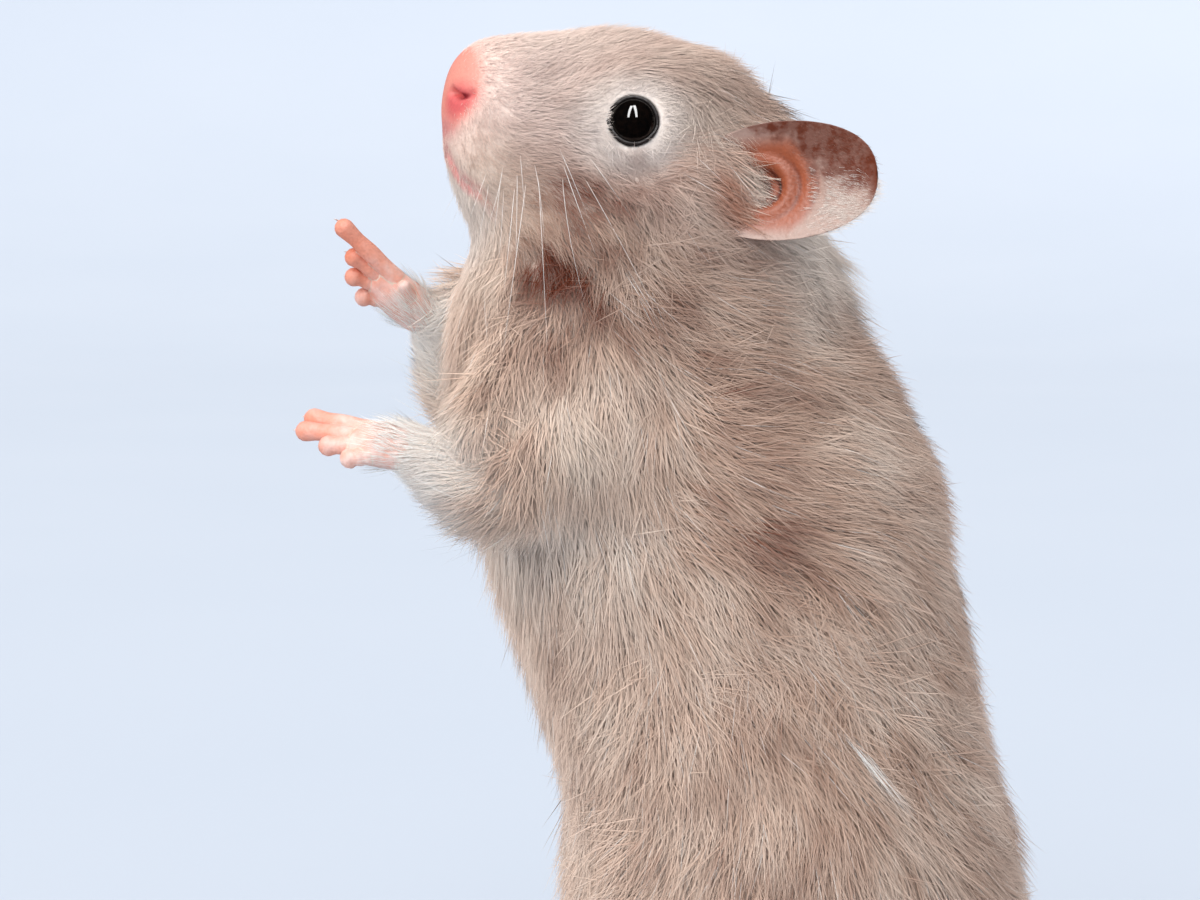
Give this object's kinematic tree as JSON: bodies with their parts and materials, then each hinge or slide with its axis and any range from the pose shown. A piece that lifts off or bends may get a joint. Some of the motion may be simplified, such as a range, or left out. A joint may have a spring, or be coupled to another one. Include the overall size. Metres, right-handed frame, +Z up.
{
  "type": "syrian hamster",
  "caption": "Syrian hamster as a still, life-size display model, standing upright on its hind feet with its head lifted and its forepaws raised.",
  "frame": {"origin": "on the floor, at the bottom centre of the whole outline's box", "axes": "+Z up, the nose and paws point towards -Y, the animal's left side is +X"},
  "size_m": [0.0558, 0.0858, 0.1311],
  "materials": {
    "coat": "soft beige-grey fur, darker at the roots and along the back",
    "pale_coat": "soft cream fur of the belly and throat",
    "bare_skin": "bare pink skin of paws, feet and tail, finely creased, with pale claws",
    "nose_skin": "moist pink nose pad",
    "ear_skin": "thin ear, pink inside at the root and grey-brown towards the tip, with fine down",
    "eye": "wet black eye, high gloss"
  },
  "bodies": {
    "root": {"nose": "nose_skin", "head": "coat", "neck": "coat", "chest": "coat", "rump": "coat", "left_foreleg": "coat", "right_foreleg": "coat", "left_thigh": "coat", "right_thigh": "coat", "left_shank": "coat", "right_shank": "coat", "belly": "pale_coat", "tail": "bare_skin", "left_forepaw": "bare_skin", "right_forepaw": "bare_skin", "left_hind_foot": "bare_skin", "right_hind_foot": "bare_skin", "left_ear": "ear_skin", "right_ear": "ear_skin", "left_eye": "eye", "right_eye": "eye"}
  },
  "joints": []
}
